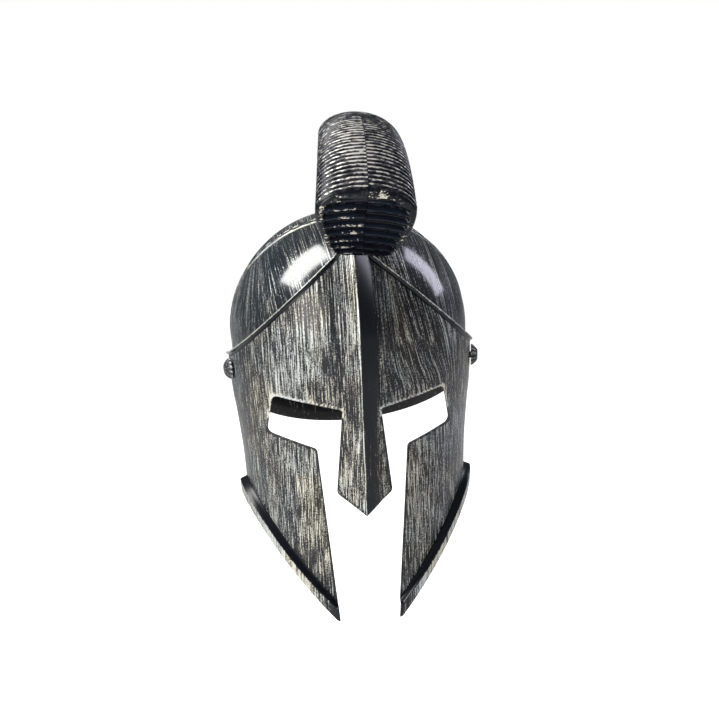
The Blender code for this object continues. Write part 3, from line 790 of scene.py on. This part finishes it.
bowlFront = shell["front"] - shell["bowlInset"]
bowlRear = shell["rear"] - shell["bowlInset"]


def arcRadius(angle, fore, aft, top):
    reach = fore if angle > 0.0 else aft
    return 1.0 / sqrt((sin(angle) / reach) ** 2 + (cos(angle) / top) ** 2)


def inPlane(radius, angle):
    return Vector((radius * sin(angle), radius * cos(angle)))


def crestLine(angle):
    c = crestSize
    fan = eased((angle - c["fanStart"]) / (c["front"] - c["fanStart"]))
    footAngle = angle + (c["lip"] - c["front"]) * fan
    lift = tableValue(crestFoot, "angle", footAngle / c["lip"], "lift") * c["lipClearance"]
    foot = inPlane(arcRadius(footAngle, bowlFront, bowlRear, bowlHalf) + lift, footAngle)
    top = inPlane(arcRadius(angle, c["fore"], c["aft"], bowlHalf + c["rise"]), angle)
    return foot, top


def crestShare(angle):
    return 1.0 - crestSize["taper"] * (crestSize["front"] - angle) / (crestSize["front"] - crestSize["rear"])


def crestProfile(foot, top, share, groove):
    c = crestSize
    height = (top - foot).length
    half = c["halfWidth"] * share
    narrow = c["footHalf"] * share
    crown = min(c["crown"], height / 2.0)
    shoulder = height - crown
    points = [(c["seam"], 0.0)]
    for step in range(c["sideSteps"] + 1):
        risen = step / c["sideSteps"]
        width = narrow + (half - narrow) * sin(pi / 2.0 * risen)
        under = max(c["footRound"] - shoulder * risen, 0.0)
        width -= c["footRound"] - sqrt(c["footRound"] ** 2 - under**2)
        points.append((width - groove * min(risen * c["ribFoot"], 1.0), shoulder * risen))
    for step in range(1, c["crownSteps"] + 1):
        angle = pi / 2.0 * step / c["crownSteps"]
        width = max((half - groove) * cos(angle), c["seam"])
        points.append((width, shoulder + (crown - groove) * sin(angle)))
    return points


def crestPoint(side, across, forwardUp):
    lean = crestSize["lean"]
    level = Vector((cos(lean), 0.0, -sin(lean)))
    upright = Vector((sin(lean), 0.0, cos(lean)))
    return domeCentre + level * across * side + upright * forwardUp.y + Vector((0.0, -forwardUp.x, 0.0))


def crestHalf(name, side, seat):
    c, cap, tone = crestSize, capSize, crestTone
    radius = bowlHalf + c["rise"]
    ribs = round((c["front"] - c["rear"]) / (c["ribPitch"] / radius))
    count = ribs * c["sectionsPerRib"]
    rows = c["sideSteps"] + c["crownSteps"] + 1
    phase = 0.0 if side > 0.0 else 0.5

    def section(column):
        angle = c["rear"] + (c["front"] - c["rear"]) * column / count
        fromEnd = min(c["front"] - angle, angle - c["rear"]) * radius
        turned = max(c["endRound"] - fromEnd, 0.0)
        endInset = c["endRound"] - sqrt(max(c["endRound"] ** 2 - turned**2, 0.0))
        crestOfRib = abs(sin(pi * (column / c["sectionsPerRib"] + phase))) ** c["ribCurve"]
        fade = eased(fromEnd / c["ribFade"])
        foot, top = crestLine(angle)
        groove = c["ribDepth"] * (1.0 - crestOfRib) * fade + endInset
        points = crestProfile(foot, top, crestShare(angle), groove)
        return angle, crestOfRib, fade, foot, top, points

    sections = [section(column) for column in range(count + 1)]

    def sidePlace(column, row):
        angle, crestOfRib, fade, foot, top, points = sections[column]
        across, height = points[row]
        place = crestPoint(side, across, foot + (top - foot).normalized() * height)
        share = height / (top - foot).length
        near = bell(across, tone["rubAcross"], tone["rubWidth"])
        most = 1.0 if side < 0.0 else tone["leftRub"]
        rub = bell(angle, tone["rubAngle"], tone["rubSpread"]) * near * most
        rub += tone["crownRub"] * above(share, tone["crownFrom"], tone["crownRun"])
        marks = {"ribTop": crestOfRib * fade, "rub": rub}
        marks["wearAndHighlight"] = (1.0 - fade) * (tone["frontEdge"] if angle > 0.0 else tone["rearEdge"])
        return place, Vector((across, radius * angle, height)), marks

    def capPlace(column, row, which, outSign):
        angle, crestOfRib, fade, foot, top, points = sections[which]
        width, height = points[row]
        across = c["seam"] + (width - c["seam"]) * (1.0 - column / cap["columns"])
        upDirection = (top - foot).normalized()
        full = points[-1][1]
        fromSide = (width - across) / cap["sideFade"]
        fromTop = (full - height) / cap["topFade"]
        fromFoot = (height + cap["belowFoot"]) / cap["footFade"]
        fadeIn = eased(min(fromSide, fromTop, fromFoot))
        lift = cap["leftLift"] if side > 0.0 else 0.0
        arched = height + cap["arch"] * (across / c["halfWidth"]) ** 2 + lift
        wave = 0.5 - 0.5 * cos(2.0 * pi * cap["ribs"] * (max(arched, 0.0) / full) ** cap["ribSpacing"])
        depth = cap["recess"] * fadeIn * (1.0 - wave) if which else cap["rearRecess"] * fadeIn
        forward = Vector((upDirection.y, -upDirection.x)) * outSign
        place = crestPoint(side, across, foot + upDirection * height - forward * depth)
        edge = (1.0 - fadeIn) if which else tone["rearCapEdge"]
        marks = {"ribTop": wave * fadeIn, "shade": fadeIn, "wearAndHighlight": edge}
        most = tone["capRubRight"] if side < 0.0 else tone["capRubLeft"]
        marks["rub"] = bell(across, tone["capAcross"], tone["capWidth"]) * most
        return place, Vector((across, radius * angle, height)), marks

    bm = bmesh.new()
    shapedGrid(bm, count, rows, sidePlace)
    shapedGrid(bm, cap["columns"], rows, lambda column, row: capPlace(column, row, count, 1.0))
    shapedGrid(bm, cap["columns"], rows, lambda column, row: capPlace(column, row, 0, -1.0))
    bmesh.ops.remove_doubles(bm, verts=bm.verts, dist=weld)
    bmesh.ops.holes_fill(bm, edges=[edge for edge in bm.edges if edge.is_boundary], sides=0)
    half = newPiece(name, bm)
    half.data.materials.append(crestPaint)
    addCut(half, seat)
    settle(half, c["sharpOver"])
    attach(half, "shell")
    return half


def makeSeat():
    gap = crestSize["seatGap"]
    bm = bmesh.new()
    markLayers(bm)
    bmesh.ops.create_uvsphere(bm, u_segments=128, v_segments=64, radius=bowlHalf + gap)
    for vert in bm.verts:
        reach = bowlFront if vert.co.y < 0.0 else bowlRear
        vert.co.y *= (reach + gap) / (bowlHalf + gap)
    bmesh.ops.translate(bm, verts=bm.verts, vec=domeCentre)
    return newPiece("seat", bm)


crestLook = {
    "plastic": colour(0.004, 0.005, 0.008), "film": colour(0.050, 0.050, 0.058),
    "silver": colour(0.62, 0.60, 0.55), "cream": colour(0.58, 0.55, 0.47),
    # capPaintedSheen: navy painted on the cap's rib crests as the sheen of their upper faces
    "capPaintedSheen": colour(0.010, 0.015, 0.027), "gloss": 0.20, "matt": 0.36, "specular": 0.26,
    "ridgeRub": 0.55, "handRub": 0.45, "flakeRub": 2.2, "cloudRub": 0.35, "capClean": 0.75,
    "silverStart": 1.92, "silverFull": 2.24, "filmStart": 1.40, "filmFull": 1.98,
    "edgeChips": 0.30, "flakeChips": 0.5, "crumbChips": 0.6, "cloudChips": 0.7,
    "capRubChips": 0.17, "capRibChips": 0.14, "chipStart": 1.23, "chipFull": 1.27,
}


def crestFinish(look):
    material, tree, shader = newFinish("crestRubbedSilver")
    place = addNode(tree, "ShaderNodeTexCoord").outputs["Object"]
    rib = readMark(tree, "ribTop")
    rub = readMark(tree, "rub")
    # on the crest the shade mark marks the recessed cap: silver is kept off it, and its rib crests take the
    # painted sheen
    cap = readMark(tree, "shade")
    edge = readMark(tree, "wearAndHighlight")
    flakes = grainNoise(tree, place, 360.0, 4.0, 0.65, (0.5, 1.0, 1.0))
    crumbs = grainNoise(tree, place, 820.0, 4.0, 0.7, (0.6, 1.0, 1.0), 4.2)
    clouds = grainNoise(tree, place, 46.0, 3.0, 0.6)
    ridge = ramped(tree, rib, 0.60, 1.0)
    rubbed = added(tree, sums(tree, "MULTIPLY", ridge, look["ridgeRub"]), rub, look["handRub"])
    rubbed = added(tree, rubbed, flakes, look["flakeRub"])
    rubbed = added(tree, rubbed, clouds, look["cloudRub"])
    rubbed = sums(tree, "SUBTRACT", rubbed, sums(tree, "MULTIPLY", cap, look["capClean"]))
    silver = ramped(tree, rubbed, look["silverStart"], look["silverFull"])
    film = ramped(tree, rubbed, look["filmStart"], look["filmFull"])
    capRib = sums(tree, "MULTIPLY", cap, rib)
    chips = added(tree, sums(tree, "MULTIPLY", edge, look["edgeChips"]), flakes, look["flakeChips"])
    chips = added(tree, chips, crumbs, look["crumbChips"])
    chips = added(tree, chips, clouds, look["cloudChips"])
    capChips = sums(tree, "ADD", sums(tree, "MULTIPLY", rub, look["capRubChips"]), look["capRibChips"])
    chips = added(tree, chips, capRib, capChips)
    chipped = ramped(tree, chips, look["chipStart"], look["chipFull"])
    paint = blended(tree, film, look["plastic"], look["film"])
    # painted sheen: the cap's rib crests are tinted navy, patchily, as if they caught the light
    paintedSheenShare = sums(tree, "MULTIPLY", capRib, ramped(tree, clouds, 0.35, 0.6))
    paint = blended(tree, paintedSheenShare, paint, look["capPaintedSheen"])
    paint = blended(tree, silver, paint, look["silver"])
    paint = blended(tree, chipped, paint, look["cream"])
    plug(tree, shader.inputs["Base Color"], paint)
    rough = sums(tree, "MAXIMUM", silver, chipped)
    plug(tree, shader.inputs["Roughness"], ramped(tree, rough, 0.0, 1.0, look["gloss"], look["matt"]))
    plug(tree, shader.inputs["Metallic"], sums(tree, "MULTIPLY", silver, 0.5))
    shader.inputs["Specular IOR Level"].default_value = look["specular"]
    bumped(tree, shader, sums(tree, "ADD", flakes, rough), 0.4, 0.00008)
    return material


crestPaint = crestFinish(crestLook)
seat = makeSeat()
crestLeft = crestHalf("crest_skin_left", 1.0, seat)
crestRight = crestHalf("crest_skin_right", -1.0, seat)
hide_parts("crest_shell_left")
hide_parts("crest_shell_right")
bpy.data.objects.remove(seat)
print("crest made")

# rivets
rivetSize = {
    "radius": 0.0085, "topRadius": 0.0026, "height": 0.0054, "baseHeight": 0.0006, "curve": 0.85,
    "flutes": 13, "fluteDepth": 0.0010, "gap": 0.0003, "shank": 0.0025, "clench": 0.0048,
    "clenchThickness": 0.0014, "clenchEdge": 0.0003, "baseRings": 3, "rings": 14, "around": 156,
    "sharpOver": 34.0,
}


def rivetSeat():
    h = -rivetPlace["drop"]
    reach = shell["front"] * sideValue(h, "reach")
    theta = acos(rivetPlace["ahead"] / reach)
    step = 0.002
    seatPoint = shellPoint(theta, h)
    along = shellPoint(theta + step / shell["front"], h) - seatPoint
    up = shellPoint(theta, h + step) - seatPoint
    normal = along.cross(up).normalized()
    if normal.x < 0.0:
        normal.negate()
    return seatPoint, normal


def clenchSeat():
    lowest = shell["halfWidth"]
    for turn in range(12):
        angle = 2.0 * pi * turn / 12.0
        h = rivetSize["clench"] * sin(angle) - rivetPlace["drop"]
        ahead = rivetSize["clench"] * cos(angle) + rivetPlace["ahead"]
        reach = shell["front"] * sideValue(h, "reach") - shell["bowlInset"]
        lowest = min(lowest, shellPoint(acos(ahead / reach), h, shell["bowlInset"]).x)
    return lowest - shell["wall"] - 3.0 * rivetSize["gap"]


def makeRivet(name, mirrored):
    r = rivetSize
    seatPoint, normal = rivetSeat()
    turn = normal.to_track_quat("Z", "Y").to_matrix().to_4x4()
    lift = r["gap"] + r["radius"] ** 2 / (2.0 * shell["halfWidth"])

    def headPlace(column, row):
        angle = 2.0 * pi * column / r["around"]
        if row < r["baseRings"]:
            out, height = r["radius"] * row / (r["baseRings"] - 1.0), 0.0
        else:
            share = (row - r["baseRings"]) / (r["rings"] - r["baseRings"])
            out = r["radius"] + (r["topRadius"] - r["radius"]) * share
            height = r["baseHeight"] + (r["height"] - r["baseHeight"]) * sin(pi / 2.0 * share) ** r["curve"]
            out *= 1.0 if share < 1.0 else 0.0
        flute = 0.5 - 0.5 * cos(angle * r["flutes"])
        cut = r["fluteDepth"] * flute * (out / r["radius"])
        local = Vector(((out - cut) * cos(angle), (out - cut) * sin(angle), height))
        marks = {"ribTop": 1.0 - flute, "wearAndHighlight": bell(height, r["baseHeight"], r["baseHeight"])}
        return seatPoint + normal * lift + turn @ local, local, marks

    bm = bmesh.new()
    shapedGrid(bm, r["around"], r["rings"], headPlace)
    bmesh.ops.remove_doubles(bm, verts=bm.verts, dist=0.00001)
    rivet = newPiece(name, bm)
    inner = clenchSeat()
    start = inner - r["clenchThickness"]
    end = seatPoint.x + r["height"] / 2.0
    edge = r["clenchEdge"]
    profile = [(start, 0.0), (start, r["clench"] - edge), (start + edge, r["clench"]), (inner, r["clench"])]
    profile += [(inner, r["shank"]), (end, r["shank"]), (end, 0.0)]
    bm = bmesh.new()
    markLayers(bm)
    verts = [bm.verts.new(pivot + Vector((x, 0.0, radius))) for x, radius in profile]
    edges = [bm.edges.new(pair) for pair in zip(verts, verts[1:])]
    bmesh.ops.spin(
        bm, geom=verts + edges, cent=pivot, axis=(1.0, 0.0, 0.0), dvec=(0.0, 0.0, 0.0), angle=2.0 * pi,
        steps=40, use_merge=True,
    )
    bmesh.ops.remove_doubles(bm, verts=bm.verts, dist=0.00001)
    shank = newPiece(name + "_shank", bm)
    addCut(rivet, shank, "UNION")
    rivet.data.materials.append(rivetPaint)
    settle(rivet, r["sharpOver"], shank)
    if mirrored:
        rivet.data.transform(Matrix.Scale(-1.0, 4, (1.0, 0.0, 0.0)))
        rivet.data.flip_normals()
    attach(rivet, "face")
    return rivet


rivetLook = {
    "scale": 900.0, "fluteRub": 0.5, "edgeRub": 0.35, "start": 0.92, "full": 1.15,
    "gloss": 0.24, "matt": 0.40, "plastic": colour(0.022, 0.023, 0.026), "silver": colour(0.34, 0.34, 0.33),
}


def rivetFinish(look):
    material, tree, shader = newFinish("rivetRubbedPlastic")
    place = addNode(tree, "ShaderNodeTexCoord").outputs["Object"]
    noise = grainNoise(tree, place, look["scale"], 3.0)
    rubbed = added(tree, noise, readMark(tree, "ribTop"), look["fluteRub"])
    rubbed = added(tree, rubbed, readMark(tree, "wearAndHighlight"), look["edgeRub"])
    silver = ramped(tree, rubbed, look["start"], look["full"])
    plug(tree, shader.inputs["Base Color"], blended(tree, silver, look["plastic"], look["silver"]))
    plug(tree, shader.inputs["Roughness"], ramped(tree, silver, 0.0, 1.0, look["gloss"], look["matt"]))
    plug(tree, shader.inputs["Metallic"], sums(tree, "MULTIPLY", silver, 0.5))
    bumped(tree, shader, noise, 0.25, 0.00006)
    return material


rivetPaint = rivetFinish(rivetLook)
rivetLeft = makeRivet("rivet_skin_left", False)
rivetRight = makeRivet("rivet_skin_right", True)
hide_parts("rivet_left")
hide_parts("rivet_right")
print("rivets made")

# camera, floor and light
view = {
    "turn": radians(-4.43), "rise": radians(6.5), "roll": radians(2.82), "distance": 1.0, "lens": 64.15,
    "sensor": 36.0, "shiftX": 0.0110, "shiftY": 0.0025,
}
floorLook = {"half": 30.0, "below": 0.10, "grey": colour(0.80, 0.80, 0.80), "roughness": 0.9, "glow": 0.85}
skyLook = {
    "seen": colour(1.0, 1.0, 1.0), "mirrored": colour(0.14, 0.15, 0.16), "fill": colour(0.26, 0.27, 0.28),
}
softboxes = [
    {
        "name": "keyLight", "place": (-0.95, -0.22, 1.36), "aim": (0.0, 0.0, -0.08), "width": 0.66,
        "height": 1.2, "power": 40.0, "tint": (1.0, 0.99, 0.97),
    },
    {
        "name": "frontLight", "place": (-1.45, -1.60, 0.45), "aim": (0.0, 0.0, -0.15), "width": 0.9,
        "height": 1.3, "power": 36.0, "tint": (1.0, 0.98, 0.95),
    },
    {
        "name": "sideLight", "place": (1.35, 0.35, 0.75), "aim": (0.0, 0.0, -0.08), "width": 0.45,
        "height": 0.95, "power": 9.0, "tint": (0.85, 0.84, 1.0),
    },
]


def makeCamera():
    turn, rise, roll = view["turn"], view["rise"], view["roll"]
    back = Vector((sin(turn) * cos(rise), -cos(turn) * cos(rise), sin(rise)))
    right = (-back).cross(Vector((0.0, 0.0, 1.0))).normalized()
    up = right.cross(-back)
    rolledRight = right * cos(roll) - up * sin(roll)
    rolledUp = right * sin(roll) + up * cos(roll)
    camera = bpy.data.cameras.new("camera")
    camera.lens = view["lens"]
    camera.sensor_width = view["sensor"]
    camera.shift_x = view["shiftX"]
    camera.shift_y = view["shiftY"]
    holder = bpy.data.objects.new("camera", camera)
    bpy.context.collection.objects.link(holder)
    axes = Matrix((rolledRight, rolledUp, back)).transposed().to_4x4()
    holder.matrix_world = Matrix.Translation(pivot + back * view["distance"]) @ axes
    bpy.context.scene.camera = holder


def makeFloor():
    bm = bmesh.new()
    bmesh.ops.create_grid(bm, x_segments=1, y_segments=1, size=floorLook["half"])
    bmesh.ops.translate(bm, verts=bm.verts, vec=(0.0, 0.0, cadLow.z - floorLook["below"]))
    floor = newPiece("floor", bm)
    material, tree, shader = newFinish("paleFloor")
    shader.inputs["Base Color"].default_value = floorLook["grey"]
    shader.inputs["Roughness"].default_value = floorLook["roughness"]
    shader.inputs["Specular IOR Level"].default_value = 0.0
    shader.inputs["Emission Color"].default_value = colour(1.0, 1.0, 1.0)
    seen = addNode(tree, "ShaderNodeLightPath").outputs["Is Camera Ray"]
    plug(tree, shader.inputs["Emission Strength"], sums(tree, "MULTIPLY", seen, floorLook["glow"]))
    floor.data.materials.append(material)


def softbox(name, place, aim, width, height, power, tint):
    light = bpy.data.lights.new(name, "AREA")
    light.shape = "RECTANGLE"
    light.size = width
    light.size_y = height
    light.energy = power
    light.color = tint
    holder = bpy.data.objects.new(name, light)
    holder.location = place
    holder.rotation_euler = (Vector(place) - Vector(aim)).to_track_quat("Z", "Y").to_euler()
    bpy.context.collection.objects.link(holder)


def makeWorld():
    world = bpy.data.worlds.new("studio")
    world.use_nodes = True
    tree = world.node_tree
    backdrop = tree.nodes["Background"]
    backdrop.inputs["Strength"].default_value = 1.0
    path = addNode(tree, "ShaderNodeLightPath")
    shade = blended(tree, path.outputs["Is Glossy Ray"], skyLook["fill"], skyLook["mirrored"])
    shade = blended(tree, path.outputs["Is Camera Ray"], shade, skyLook["seen"])
    tree.links.new(shade, backdrop.inputs["Color"])
    bpy.context.scene.world = world


makeCamera()
makeFloor()
makeWorld()
for facts in softboxes:
    softbox(**facts)
bpy.context.scene.view_settings.view_transform = "Standard"

print("stage set")
